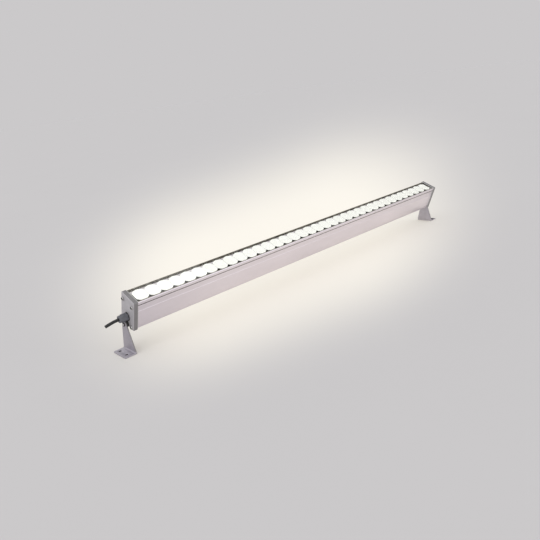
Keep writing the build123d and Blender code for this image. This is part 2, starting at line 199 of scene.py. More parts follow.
class WasherStageSettings(bpy.types.PropertyGroup):
    """The camera, the lamps and the pale floor."""

    camera_place: vector_setting(
        "Camera place", "Where the camera stands", (-0.9256, -0.9319, 0.4544), "TRANSLATION", unit="LENGTH")
    camera_forward: vector_setting(
        "Camera forward", "The way that the camera looks", (0.61351, 0.72309, -0.31741))
    camera_right: vector_setting(
        "Camera right", "The way that the picture's width runs", (0.72926, -0.67299, -0.12356))
    camera_lens: number_setting("Focal length", "For a sensor 36 mm wide", 36.57, unit="CAMERA")
    backdrop_colour: colour_setting("Backdrop colour", "Pale floor and backdrop", (0.597, 0.584, 0.591))
    sky_strength: number_setting("Sky strength", "Even light from all round", 0.843, min=0)
    key_strength: number_setting("Key strength", "Soft light from the cable end", 0.6, min=0)
    key_direction: vector_setting(
        "Key direction", "The way that the key light comes from", (-0.80, -0.30, 0.52))
    fill_strength: number_setting("Fill strength", "Soft light from the front", 0.45, min=0)
    fill_direction: vector_setting(
        "Fill direction", "The way that the fill light comes from", (0.35, -0.85, 0.40))
    light_spread: number_setting(
        "Light spread", "How wide the soft lights are", radians(60), subtype="ANGLE")
    floor_size: number_setting("Floor size", "Width of the square floor", 60.0, unit="LENGTH")
    flag_place: vector_setting(
        "Flag place", "Where the dark card stands, which only reflections show", (1.7, 1.5, 1.35),
        "TRANSLATION", unit="LENGTH")
    flag_size: number_setting("Flag size", "Width of the dark card", 2.6, unit="LENGTH")
    # Painted light: a warm glow painted in the floor's material round the lamp, not cast by its lenses
    glow_colour: colour_setting(
        "Glow colour", "Warm glow on the backdrop round the lit lamp", (1.0, 0.925, 0.70))
    glow_strength: number_setting("Glow strength", "How much light the glow adds", 0.395, min=0)
    glow_lift: number_setting(
        "Glow lift", "How far the glow's middle lies above the lamp, as a share of half the picture", -0.037)
    glow_shift: number_setting(
        "Glow shift", "How far the glow's middle lies along the lamp, in that share", -0.045)
    glow_width: number_setting(
        "Glow width", "Half width over which it keeps its strength, in that share", 0.041)
    glow_softness: number_setting(
        "Glow softness", "Distance past that width in which it falls to a third, in that share", 0.267)
    glow_length: number_setting(
        "Glow length", "Half length over which it keeps its strength, in that share", 0.241)
    glow_end_softness: number_setting(
        "Glow end softness", "Distance past that length in which it falls to a third, in that share", 0.436)
    glow_fall: number_setting(
        "Glow fall", "How abruptly the glow falls: 2 is a bell, more has a flatter middle", 3.0, min=0)
    glow_spread_in_metal: number_setting(
        "Glow spread in metal",
        "Share taken off the squared distance in a reflection, so that the glow spreads further",
        0.55, min=0, max=1)
    glow_shift_in_metal: number_setting(
        "Glow shift in metal",
        "How far further along the lamp the glow's middle lies in a reflection, in that share", 0.30)


# ---------------------------------------------------------------- materials
def start_material(name):
    """A new node material and its parts: the tree's nodes and links, and its Principled shader."""
    material = bpy.data.materials.new(name)
    material.use_nodes = True
    tree = material.node_tree
    return material, tree.nodes, tree.links, tree.nodes["Principled BSDF"]


def noise_pattern(nodes, links, scale, stretch=(1, 1, 1), detail=4.0, roughness=0.55):
    """Noise on object coordinates, stretched along an axis where its value there is small."""
    place = nodes.new("ShaderNodeTexCoord")
    mapping = nodes.new("ShaderNodeMapping")
    mapping.inputs["Scale"].default_value = stretch
    noise = nodes.new("ShaderNodeTexNoise")
    noise.inputs["Scale"].default_value = scale
    noise.inputs["Detail"].default_value = detail
    noise.inputs["Roughness"].default_value = roughness
    links.new(place.outputs["Object"], mapping.inputs["Vector"])
    links.new(mapping.outputs["Vector"], noise.inputs["Vector"])
    return noise.outputs["Fac"]


def tint_by(nodes, links, factor, colour, target, spread):
    """Varies a colour by a pattern, from darker to lighter by the spread, into the target socket."""
    ramp = nodes.new("ShaderNodeValToRGB")
    ramp.color_ramp.elements[0].position = NOISE_LOW
    ramp.color_ramp.elements[1].position = NOISE_HIGH
    ramp.color_ramp.elements[0].color = [channel * (1 - spread) for channel in colour] + [1]
    ramp.color_ramp.elements[1].color = [min(1, channel * (1 + spread)) for channel in colour] + [1]
    links.new(factor, ramp.inputs["Fac"])
    links.new(ramp.outputs["Color"], target)


def spread_by(nodes, links, factor, target, low, high):
    """Turns a pattern into values from low to high, into the target socket."""
    spread = nodes.new("ShaderNodeMapRange")
    spread.inputs["From Min"].default_value = NOISE_LOW
    spread.inputs["From Max"].default_value = NOISE_HIGH
    spread.inputs["To Min"].default_value = low
    spread.inputs["To Max"].default_value = high
    links.new(factor, spread.inputs["Value"])
    links.new(spread.outputs["Result"], target)


def bump_by(nodes, links, factor, shader, strength, depth):
    """Lets a pattern raise and lower the surface by a depth in metres."""
    bump = nodes.new("ShaderNodeBump")
    bump.inputs["Strength"].default_value = strength
    bump.inputs["Distance"].default_value = depth
    links.new(factor, bump.inputs["Height"])
    links.new(bump.outputs["Normal"], shader.inputs["Normal"])


def surface(name, colour, texture, tint, roughness, clouds=None, relief=None, metallic=0.0):
    """A material. The texture spreads its roughness from a low to a high value and gives its relief, a
    strength and a depth in metres. The clouds, or else the texture, vary its colour by the tint share."""
    material, nodes, links, shader = start_material(name)
    fine = noise_pattern(nodes, links, **texture)
    broad = noise_pattern(nodes, links, **clouds) if clouds else fine
    tint_by(nodes, links, broad, colour, shader.inputs["Base Color"], tint)
    spread_by(nodes, links, fine, shader.inputs["Roughness"], *roughness)
    if relief:
        bump_by(nodes, links, fine, shader, *relief)
    shader.inputs["Metallic"].default_value = metallic
    return material


def anodised_aluminium(name, colour):
    """Satin anodised extrusion: fine die lines along the lamp and a faint cloudiness."""
    return surface(
        name, colour, dict(scale=1.0, stretch=(6, 2600, 2600), detail=3), tint=0.035,
        roughness=(0.36, 0.48), clouds=dict(scale=24.0, stretch=(0.25, 1, 1), detail=3),
        relief=(0.25, 0.00002), metallic=0.95)


def cast_coat(name, colour):
    """Powder coat on die cast metal, with the fine orange peel that such a coat has."""
    return surface(
        name, colour, dict(scale=1400.0, detail=2), tint=0.06, roughness=(0.42, 0.55),
        clouds=dict(scale=60.0, detail=4), relief=(0.35, 0.00005), metallic=0.25)


def satin_steel(name, colour):
    """Satin sheet steel with short fine scratches along the bend."""
    return surface(
        name, colour, dict(scale=1.0, stretch=(1800, 60, 1800), detail=3), tint=0.07,
        roughness=(0.34, 0.50), clouds=dict(scale=70.0, detail=4), relief=(0.3, 0.00003), metallic=0.8)


def bright_steel(name, colour):
    """Bright stainless steel of screws, with faint turning marks."""
    return surface(
        name, colour, dict(scale=900.0, detail=3), tint=0.06, roughness=(0.16, 0.30),
        relief=(0.15, 0.00002), metallic=1.0)


def matt_rubber(name, colour):
    """Matt rubber with a fine mottle."""
    return surface(
        name, colour, dict(scale=700.0, detail=4), tint=0.25, roughness=(0.62, 0.8), relief=(0.4, 0.00004))


def gland_nylon(finish):
    """Moulded nylon with the fine spark texture of its mould."""
    return surface(
        "gland_nylon", finish.gland_colour, dict(scale=1800.0, detail=2), tint=0.16,
        roughness=(0.42, 0.58), clouds=dict(scale=150.0, detail=3), relief=(0.35, 0.00003))


def cable_jacket(finish):
    """Black cable jacket, drawn smooth, with faint scuffs along it."""
    return surface(
        "cable_jacket", finish.cable_colour, dict(scale=260.0, stretch=(0.25, 1, 1), detail=5), tint=0.35,
        roughness=(0.40, 0.62), relief=(0.3, 0.00003))


def plain_plastic(name, colour, roughness):
    """Matt moulded plastic with a faint mottle."""
    return surface(
        name, colour, dict(scale=500.0, detail=3), tint=0.08,
        roughness=(roughness - 0.06, roughness + 0.06), relief=(0.3, 0.00003))


def black_mask_and_shade():
    """Black solder mask of the boards, a little glossy. Its darkness also stands as painted shade in the gaps
    between the lenses.
    """
    return surface(
        "black_mask_and_shade", (0.035, 0.035, 0.038), dict(scale=320.0, detail=4), tint=0.15,
        roughness=(0.28, 0.42))


def clear_glass():
    """Clear toughened glass, smooth but for a trace of dust."""
    material = surface(
        "clear_glass", (0.97, 0.98, 0.975), dict(scale=40.0, detail=6), tint=0.01, roughness=(0.0, 0.02))
    shader = material.node_tree.nodes["Principled BSDF"]
    shader.inputs["Transmission Weight"].default_value = 1.0
    shader.inputs["IOR"].default_value = 1.5
    return material


def lit_surface(finish, name, colour, strength):
    """A surface that glows, or that stands in the lenses' light, a little uneven."""
    material, nodes, links, shader = start_material(name)
    flecks = noise_pattern(nodes, links, scale=180.0, detail=3)
    tint_by(nodes, links, flecks, colour, shader.inputs["Base Color"], spread=0.04)
    tint_by(nodes, links, flecks, finish.light_colour, shader.inputs["Emission Color"], spread=0.03)
    spread_by(nodes, links, flecks, shader.inputs["Roughness"], low=0.10, high=0.2)
    shader.inputs["Emission Strength"].default_value = strength
    return material


def give(thing, *materials):
    """Gives a piece or a CAD node its materials, in the order of its faces' material numbers."""
    thing.data.materials.clear()
    for material in materials:
        thing.data.materials.append(material)


# ---------------------------------------------------------------- making pieces
def finish_piece(name, bm, body, slot, *materials, smooth=35, place=None):
    """Turns a bmesh into a piece: placed, closed normals, smooth where its faces meet at a low angle."""
    bmesh.ops.recalc_face_normals(bm, faces=bm.faces)
    if place is not None:
        bmesh.ops.transform(bm, matrix=place, verts=bm.verts)
    mesh = bpy.data.meshes.new(name)
    for material in materials:
        mesh.materials.append(material)
    bm.to_mesh(mesh)
    bm.free()
    mesh.shade_smooth()
    mesh.set_sharp_from_angle(angle=radians(smooth))
    piece = bpy.data.objects.new(name, mesh)
    bpy.context.scene.collection.objects.link(piece)
    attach(piece, body)
    return piece


def rounded_copy(node, name, body, slot, width, *materials, segments=2, sharp=30, chooser=None, cuts=()):
    """A copy of a CAD node's mesh with its sharp edges rounded, which stands for the node. The chooser
    gives a face's material number from its middle and its normal in the lamp's frame, and its faces are
    divided at the heights of the cuts first."""
    bm = bmesh.new()
    bm.from_mesh(frame["nodes"][node].data)
    bmesh.ops.remove_doubles(bm, verts=bm.verts, dist=2 * WELD)
    bmesh.ops.dissolve_limit(bm, angle_limit=radians(1), verts=bm.verts, edges=bm.edges)
    for height in cuts:
        bmesh.ops.bisect_plane(
            bm, geom=list(bm.verts) + list(bm.edges) + list(bm.faces), dist=WELD,
            plane_co=LAMP @ Vector((0, 0, height)), plane_no=LAMP.to_3x3() @ Vector((0, 0, 1)))
    edges = [edge for edge in bm.edges if edge.is_manifold and edge.calc_face_angle(0) > radians(sharp)]
    bmesh.ops.bevel(
        bm, geom=edges, offset=width, segments=segments, affect="EDGES", profile=0.5, material=-1,
        offset_type="OFFSET", clamp_overlap=False)
    if chooser:
        inverse = LAMP.inverted()
        turn = inverse.to_3x3()
        bm.normal_update()
        for face in bm.faces:
            face.material_index = chooser(inverse @ face.calc_center_median(), turn @ face.normal)
    piece = finish_piece(name, bm, body, slot, *materials)
    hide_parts(node)
    return piece


def spin_profile(bm, profile, segments):
    """Spins a profile of (radius, height) points about Z into a closed surface."""
    points = [bm.verts.new((radius, 0, height)) for radius, height in profile]
    edges = [bm.edges.new(pair) for pair in zip(points, points[1:])]
    bmesh.ops.spin(
        bm, geom=points + edges, cent=(0, 0, 0), axis=(0, 0, 1), dvec=(0, 0, 0),
        angle=2 * pi, steps=segments, use_merge=True, use_duplicate=False)
    bmesh.ops.remove_doubles(bm, verts=bm.verts, dist=WELD)


def hexagon_prism(bm, across_flats, length, chamfer):
    """A hexagon prism that stands on z = 0, with its end edges bevelled."""
    made = bmesh.ops.create_circle(
        bm, cap_ends=True, radius=across_flats / 2 / cos(radians(30)), segments=6)
    base = list({face for vertex in made["verts"] for face in vertex.link_faces})
    raised = bmesh.ops.extrude_face_region(bm, geom=base)
    top = [item for item in raised["geom"] if isinstance(item, bmesh.types.BMVert)]
    bmesh.ops.translate(bm, vec=(0, 0, length), verts=top)
    shell = {edge for vertex in made["verts"] + top for edge in vertex.link_edges}
    bmesh.ops.bevel(
        bm, geom=list(shell), offset=chamfer, segments=3, affect="EDGES", profile=0.5, material=-1,
        offset_type="OFFSET", clamp_overlap=True)


def facing_out(station, height, side=-1, offset=0.0):
    """A placement in the lamp's frame: its Z looks out of the end on that side."""
    return LAMP @ Matrix.Translation((station, offset, height)) @ Matrix.Rotation(side * pi / 2, 4, "Y")


def add_screw(bm, screw, place):
    """Adds a screw that was made on its own to the screws of its kind, at its place."""
    bmesh.ops.transform(screw, matrix=place, verts=screw.verts)
    mesh = bpy.data.meshes.new("screw")
    screw.to_mesh(mesh)
    screw.free()
    bm.from_mesh(mesh)
    bpy.data.meshes.remove(mesh)


# ---------------------------------------------------------------- operators
class WASHER_OT_camera(bpy.types.Operator):
    """Sets up the camera that looks along the lamp from its cable end"""

    bl_idname = "washer.camera"
    bl_label = "Add Camera"

    def execute(self, context):
        stage = context.scene.washer_stage
        camera = bpy.data.objects.new("camera", bpy.data.cameras.new("camera"))
        context.scene.collection.objects.link(camera)
        forward = Vector(stage.camera_forward).normalized()
        right = Vector(stage.camera_right)
        right = (right - right.dot(forward) * forward).normalized()
        turned = Matrix((right, right.cross(forward), -forward)).transposed().to_4x4()
        camera.matrix_world = Matrix.Translation(stage.camera_place) @ turned
        camera.data.lens = stage.camera_lens
        camera.data.sensor_width = SENSOR_WIDTH
        context.scene.camera = camera
        context.scene.view_settings.view_transform = "Standard"
        return {"FINISHED"}


class WASHER_OT_cable(bpy.types.Operator):
    """Lays the short supply cable out of the gland and ends it in a clean cut"""

    bl_idname = "washer.cable"
    bl_label = "Add Supply Cable"

    def execute(self, context):
        finish = context.scene.washer_finish
        low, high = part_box("inner_cable")
        diameter = high.z - low.z
        start = Vector((low.x, (low.y + high.y) / 2, (low.z + high.z) / 2))
        line = bpy.data.curves.new("supply_cable_jacket", "CURVE")
        line.dimensions = "3D"
        spline = line.splines.new("NURBS")
        spline.points.add(len(CABLE_ROUTE) - 1)
        for point, (away, drop) in zip(spline.points, CABLE_ROUTE):
            point.co = (start.x - away, start.y, start.z + drop, 1)
        spline.order_u = 3
        spline.use_endpoint_u = True
        spline.resolution_u = 24
        line.bevel_depth = diameter / 2
        line.bevel_resolution = 8
        line.use_fill_caps = True
        cable = bpy.data.objects.new("supply_cable_jacket", line)
        context.scene.collection.objects.link(cable)
        give(cable, cable_jacket(finish))
        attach(cable, "lamp")
        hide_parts("supply_cable")
        give(frame["nodes"]["inner_cable"], cable.data.materials[0])
        return {"FINISHED"}


class WASHER_OT_metalwork(bpy.types.Operator):
    """Finishes the extruded body, the end caps and the brackets"""

    bl_idname = "washer.metalwork"
    bl_label = "Finish Metalwork"

    def execute(self, context):
        finish = context.scene.washer_finish
        shape = context.scene.washer_shape
        aluminium = anodised_aluminium("anodised_aluminium", finish.body_colour)
        coat = cast_coat("cast_coat", finish.cap_colour)
        # The caps' rims get a darker copy of the coat, as painted shade
        rim = cast_coat("cast_rim_painted_shade", finish.rim_shade_colour)
        steel = satin_steel("satin_steel", finish.bracket_colour)
        # The arm's cut edges get a darker steel, as painted shade
        edge_shade = satin_steel("cut_edge_painted_shade", finish.edge_shade_colour)
        # The bolt holes' walls are painted near black as shade
        hole_shade = plain_plastic("hole_wall_painted_shade", (0.03, 0.03, 0.032), roughness=0.6)
        # Painted shade for the side grooves
        groove = anodised_aluminium("groove_painted_shade", finish.groove_shade_colour)
        # Painted light: the well's walls glow
        well = lit_surface(finish, "well_painted_spill", finish.body_colour, finish.painted_spill_strength)
        rounded_copy("housing", "housing_finished", "lamp", "body_aluminium", shape.edge_round,
                     aluminium, groove, well, matt_rubber("glass_ledge_sealant", finish.seal_colour),
                     chooser=self.housing_face, cuts=[shape.groove_shade_bottom, shape.sealant_bottom])
        for end in ("left", "right"):
            rounded_copy(f"end_cap_{end}", f"end_cap_{end}_finished", "lamp", "cast_cap",
                         shape.cap_round, coat, rim, segments=3, chooser=self.cap_face)
            rounded_copy(f"{end}_bracket", f"{end}_bracket_finished", f"{end}_mount", "bracket_steel",
                         shape.edge_round, steel, hole_shade, edge_shade, chooser=self.bracket_face)
        return {"FINISHED"}

    def cap_face(self, middle, normal):
        """The cap's face, or its rim, which is painted shade: the same coat, darker."""
        return CAP_RIM_SHADE if abs(normal.x) < 0.5 else CAP_FACE

    def bracket_face(self, middle, normal):
        """The bracket's faces, the wall of a bolt hole in its foot, or the arm's cut edges; the last two are
        painted shade.
        """
        place = LAMP @ middle
        bolts = frame["record"]["mounts"][0]["dims"]
        off_bolt = Vector((abs(place.x) - bolts["spacing_x_mm"] / 2 * MM,
                           abs(place.y) - bolts["spacing_y_mm"] / 2 * MM))
        slack = 0.02 * MM
        foot_top = 3 * MM
        arm_bottom = 10 * MM
        # Painted shade in the bolt hole
        if off_bolt.length < bolts["hole_r_mm"] * MM + slack and place.z < foot_top:
            return HOLE_WALL_SHADE
        # The arm's cut edges along Y get painted shade
        faces_along_y = abs((LAMP.to_3x3() @ normal).y) > 0.7
        return CUT_EDGE_SHADE if faces_along_y and place.z > arm_bottom else SHEET

    def housing_face(self, middle, normal):
        """The body's finish, painted shade in a groove, painted spill light in the well, or sealant on the ledge
        and the lip.
        """
        shape = bpy.context.scene.washer_shape
        half = lamp_box("housing")[1].y
        glass_bottom = lamp_box("glass_cover")[0].z
        board_top = lamp_box("leds")[0].z
        ledge_edge = half - 4.4 * MM
        ledge_bottom = glass_bottom - 2.4 * MM
        well_side = half - 2.0 * MM
        well_top = glass_bottom - 0.1 * MM
        groove_side = half - 1.0 * MM
        if abs(middle.y) < ledge_edge and middle.z > ledge_bottom:
            return SEALANT
        if middle.z > shape.sealant_bottom:
            return SEALANT
        # Painted light: the well's walls glow
        if abs(middle.y) < well_side and board_top - MM < middle.z < well_top:
            return PAINTED_SPILL_WELL
        # Painted shade in the groove and on the wall just below it
        if abs(middle.y) > groove_side and shape.groove_shade_bottom < middle.z < shape.groove_shade_top:
            return GROOVE_SHADE
        return BODY_FINISH


class WASHER_OT_screws(bpy.types.Operator):
    """Makes the cap screws with rounded heads and hexagon sockets, and finishes the pivot screws"""

    bl_idname = "washer.screws"
    bl_label = "Add Screws"

    def execute(self, context):
        finish = context.scene.washer_finish
        shape = context.scene.washer_shape
        steel = bright_steel("bright_steel", finish.screw_colour)
        # The pivot screws' hexagons get painted shade
        self.pivots(shape, steel, bright_steel("pivot_hexagon_painted_shade", finish.hexagon_shade_colour))
        low, high = lamp_box("cap_screws")
        face = -lamp_box("gland_washer")[1].x
        across = high.y - shape.screw_head_radius
        heights = (low.z + shape.screw_head_radius, high.z - shape.screw_head_radius)
        bm = bmesh.new()
        for side in (-1, 1):
            for offset in (-across, across):
                for height in heights:
                    screw = bmesh.new()
                    self.cap_screw(screw, shape, high.x - face)
                    add_screw(bm, screw, facing_out(side * face, height, side, offset))
        screws = finish_piece("cap_screws_finished", bm, "lamp", "screw_steel", steel,
                              plain_plastic("socket_shade", (0.02, 0.02, 0.02), roughness=0.5))
        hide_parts("cap_screws")
        return {"FINISHED"}

    def pivots(self, shape, steel, shaded_hexagon):
        """The two pivot screws: a chamfered hexagon with a domed crown, over the shank. The hexagon's dark steel
        is painted shade round the bright crown.
        """
        sheet = 2.5 * MM
        arm_face = lamp_box("right_bracket")[0].x + sheet
        head = lamp_box("pivot_screws")[1].x - arm_face
        hexagon_share = 0.55
        hexagon_chamfer = 0.35 * MM
        shank_top = 0.4 * MM
        crown_seat = 0.5 * MM
        crown = [(shape.crown_radius * cos(angle), head * (hexagon_share + (1 - hexagon_share) * sin(angle)))
                 for angle in (step * pi / 16 for step in range(9))]
        shank = [(0, -shape.pivot_length), (shape.pivot_shank_radius, -shape.pivot_length),
                 (shape.pivot_shank_radius, shank_top), (shape.crown_radius, crown_seat)]
        bm = bmesh.new()
        for side in (-1, 1):
            screw = bmesh.new()
            hexagon_prism(screw, shape.pivot_across_flats, head * hexagon_share, hexagon_chamfer)
            for face in screw.faces:
                face.material_index = SCREW_SHADE
            spin_profile(screw, shank + crown, segments=40)
            add_screw(bm, screw, facing_out(side * arm_face, 0, side))
        screws = finish_piece("pivot_screws_finished", bm, "lamp", "screw_steel", steel, shaded_hexagon)
        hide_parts("pivot_screws")

    def cap_screw(self, bm, shape, height):
        """One cap screw: a rounded head with a hexagon socket, over its shank."""
        radius = shape.screw_head_radius
        curve = shape.screw_head_round
        shoulder = [(radius - curve + curve * sin(angle), height - curve + curve * cos(angle))
                    for angle in (step * pi / 12 for step in range(6, -1, -1))]
        mouth_share = 1.25
        mouth = shape.socket_across_flats / 2 * mouth_share
        socket_rim = 0.15 * MM
        profile = [(0, -shape.screw_length), (shape.screw_shank_radius, -shape.screw_length),
                   (shape.screw_shank_radius, 0), (radius, 0)]
        spin_profile(bm, profile + shoulder + [(mouth, height)], segments=40)
        opening = [edge for edge in bm.edges if edge.is_boundary]
        circle = bmesh.ops.create_circle(
            bm, cap_ends=False, radius=shape.socket_across_flats / 2 / cos(radians(30)), segments=6,
            matrix=Matrix.Translation((0, 0, height - socket_rim)))
        hexagon = list({edge for vertex in circle["verts"] for edge in vertex.link_edges})
        bmesh.ops.bridge_loops(bm, edges=opening + hexagon)
        sunk = bmesh.ops.extrude_edge_only(bm, edges=hexagon)
        floor = [item for item in sunk["geom"] if isinstance(item, bmesh.types.BMVert)]
        bmesh.ops.translate(bm, vec=(0, 0, -shape.socket_depth), verts=floor)
        bottom = bmesh.ops.contextual_create(bm, geom=floor)["faces"]
        for face in set(bottom) | {face for vertex in floor for face in vertex.link_faces}:
            face.material_index = SCREW_SHADE


class WASHER_OT_gland(bpy.types.Operator):
    """Makes the cable gland: its washer, hexagon body and domed nut"""

    bl_idname = "washer.gland"
    bl_label = "Add Cable Gland"

    def execute(self, context):
        finish = context.scene.washer_finish
        shape = context.scene.washer_shape
        nylon = gland_nylon(finish)
        rubber = matt_rubber("black_rubber", finish.rubber_colour)
        nut_low, nut_high = lamp_box("gland_nut")
        washer_low, washer_high = lamp_box("gland_washer")
        height = (washer_low.z + washer_high.z) / 2

        thick = washer_high.x - washer_low.x
        bm = self.washer(shape, (washer_high.z - washer_low.z) / 2, thick)
        washer = finish_piece("gland_washer_finished", bm, "lamp", "black_rubber", rubber,
                              place=facing_out(washer_high.x, height))
        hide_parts("gland_washer")

        bm = self.threaded_body(shape, washer_low.x - nut_high.x)
        body = finish_piece("gland_body_finished", bm, "lamp", "gland_nylon", nylon,
                            place=facing_out(washer_low.x, height))
        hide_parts("gland_body")

        bm = self.domed_nut(shape, nut_high.x - nut_low.x)
        nut = finish_piece("gland_nut_finished", bm, "lamp", "gland_nylon", nylon,
                           place=facing_out(nut_high.x, height))
        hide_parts("gland_nut")
        give(frame["nodes"]["gland_seal"], rubber)
        return {"FINISHED"}

    def washer(self, shape, radius, thick):
        """The flat rubber washer under the gland, round at its edge."""
        bore = shape.gland_thread_radius + 0.1 * MM
        curve = thick / 2
        edge = [(radius - curve + curve * sin(step * pi / 6), curve - curve * cos(step * pi / 6))
                for step in range(7)]
        bm = bmesh.new()
        spin_profile(bm, [(bore, 0)] + edge + [(bore, thick), (bore, 0)], segments=64)
        return bm

    def threaded_body(self, shape, collar):
        """The gland's hexagon collar, over the thread that sits in the cap."""
        radius = shape.gland_thread_radius
        overlap = 0.2 * MM
        chamfer = 0.45 * MM
        bm = bmesh.new()
        hexagon_prism(bm, shape.gland_across_flats, collar, chamfer)
        spin_profile(bm, [(0, -shape.gland_thread_length), (radius, -shape.gland_thread_length),
                          (radius, overlap), (0, overlap)], segments=40)
        return bm

    def domed_nut(self, shape, length):
        """The gland's nut: a hexagon, a round neck and a dome that is open for the cable."""
        cable_radius = 3.0 * MM
        mouth = cable_radius + 0.4 * MM
        lip = 0.5 * MM
        throat = 4.4 * MM
        chamfer = 0.55 * MM
        dome_start = shape.nut_hexagon_length + shape.nut_neck_length
        neck = (shape.nut_tip_radius + shape.nut_dome_drop, lip)
        dome = [(shape.nut_tip_radius + shape.nut_dome_drop * cos(angle),
                 dome_start + (length - dome_start) * sin(angle))
                for angle in (step * pi / 16 for step in range(9))]
        bore = [(mouth + lip, length), (mouth, length - lip), (mouth, throat)]
        bm = bmesh.new()
        hexagon_prism(bm, shape.gland_across_flats, shape.nut_hexagon_length, chamfer)
        spin_profile(bm, [neck] + dome + bore + [neck], segments=64)
        return bm


class WASHER_OT_glazing(bpy.types.Operator):
    """Finishes the glass, its seal and tape, the gaskets and the washers"""

    bl_idname = "washer.glazing"
    bl_label = "Finish Glazing"

    def execute(self, context):
        finish = context.scene.washer_finish
        give(frame["nodes"]["glass_cover"], clear_glass())
        rubber = matt_rubber("black_rubber", finish.rubber_colour)
        sealant = matt_rubber("glass_sealant", finish.seal_colour)
        for node in ("glass_seal", "glass_tape"):
            give(frame["nodes"][node], sealant)
        give(frame["nodes"]["friction_washers"], rubber)
        silicone = plain_plastic("pale_silicone", (0.66, 0.66, 0.63), roughness=0.6)
        for node in ("end_gasket_left", "end_gasket_right"):
            give(frame["nodes"][node], silicone)
        return {"FINISHED"}


class WASHER_OT_lenses(bpy.types.Operator):
    """Makes the row of round collimator lenses, with flats where they meet"""

    bl_idname = "washer.lenses"
    bl_label = "Add Lenses"

    def execute(self, context):
        finish = context.scene.washer_finish
        shape = context.scene.washer_shape
        low, high = lamp_box("lenses")
        height = high.z - low.z
        radius = (high.y - low.y) / 2
        half = (shape.lens_pitch - shape.lens_gap) / 2
        face = radius - shape.lens_rim
        edge = 0.3 * MM
        band = 2.0 * MM
        dish_edge = 0.5 * MM
        lit_depth = 1.5 * MM
        least_rise = 0.3
        profile = [(out * MM, up * MM) for out, up in COLLIMATOR_SIDE]
        profile += [(radius, height - band), (radius, height - edge), (radius - edge, height),
                    (face, height), (face - edge, height - dish_edge)]
        profile += [(face * share, height - depth * MM) for share, depth in COLLIMATOR_DISH]
        lens = bmesh.new()
        spin_profile(lens, profile, segments=48)
        for side in (-1, 1):
            cut = bmesh.ops.bisect_plane(
                lens, geom=list(lens.verts) + list(lens.edges) + list(lens.faces), dist=WELD,
                plane_co=(side * half, 0, 0), plane_no=(side, 0, 0), clear_outer=True)
            rim = [item for item in cut["geom_cut"] if isinstance(item, bmesh.types.BMEdge)]
            bmesh.ops.holes_fill(lens, edges=rim, sides=0)
        bmesh.ops.recalc_face_normals(lens, faces=lens.faces)
        for piece in lens.faces:
            middle = piece.calc_center_median()
            # Faces that are not lit get a dark plastic, as painted shade between the lit faces
            lit = piece.normal.z > least_rise and middle.z > height - lit_depth
            piece.material_index = LENS_FACE if lit else LENS_SIDE_SHADE
        mesh = bpy.data.meshes.new("lens")
        lens.to_mesh(mesh)
        lens.free()
        count = round((high.x - low.x + shape.lens_gap) / shape.lens_pitch)
        bm = bmesh.new()
        for cell in range(count):
            before = len(bm.verts)
            bm.from_mesh(mesh)
            bm.verts.ensure_lookup_table()
            station = (cell - (count - 1) / 2) * shape.lens_pitch
            bmesh.ops.translate(bm, vec=(station, 0, low.z), verts=bm.verts[before:])
        bpy.data.meshes.remove(mesh)
        face_material = lit_surface(finish, "lit_lens_face", (0.05, 0.05, 0.05), finish.light_strength)
        # Painted shade: the lens sides are a near black plastic
        side_shade = plain_plastic("lens_side_painted_shade", (0.06, 0.06, 0.06), roughness=0.25)
        lenses = finish_piece("lenses_finished", bm, "lamp", "clear_lens", face_material, side_shade,
                              smooth=25, place=LAMP)
        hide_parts("lenses")
        return {"FINISHED"}


class WASHER_OT_electrics(bpy.types.Operator):
    """Finishes the boards, the LEDs and the power supply inside the body"""

    bl_idname = "washer.electrics"
    bl_label = "Finish Electrics"

    def execute(self, context):
        finish = context.scene.washer_finish
        nodes = frame["nodes"]
        # The boards' black is partly painted shade between the lenses
        mask = black_mask_and_shade()
        for end in ("left", "right"):
            give(nodes[f"led_board_{end}"], mask)
        phosphor = lit_surface(finish, "yellow_phosphor", (0.85, 0.72, 0.35), strength=0.8)
        give(nodes["leds"], phosphor)
        plug = plain_plastic("plug_nylon", (0.72, 0.70, 0.64), roughness=0.45)
        give(nodes["board_link"], plug)
        give(nodes["feed_connector"], plug)
        give(nodes["board_lead"], plain_plastic("lead_sleeve", (0.42, 0.05, 0.04), roughness=0.4))
        give(nodes["driver"], plain_plastic("driver_case", (0.06, 0.06, 0.065), roughness=0.5))
        give(nodes["driver_pad"], plain_plastic("heat_pad", (0.36, 0.37, 0.39), roughness=0.75))
        give(nodes["lead_grommet"], matt_rubber("black_rubber", finish.rubber_colour))
        return {"FINISHED"}


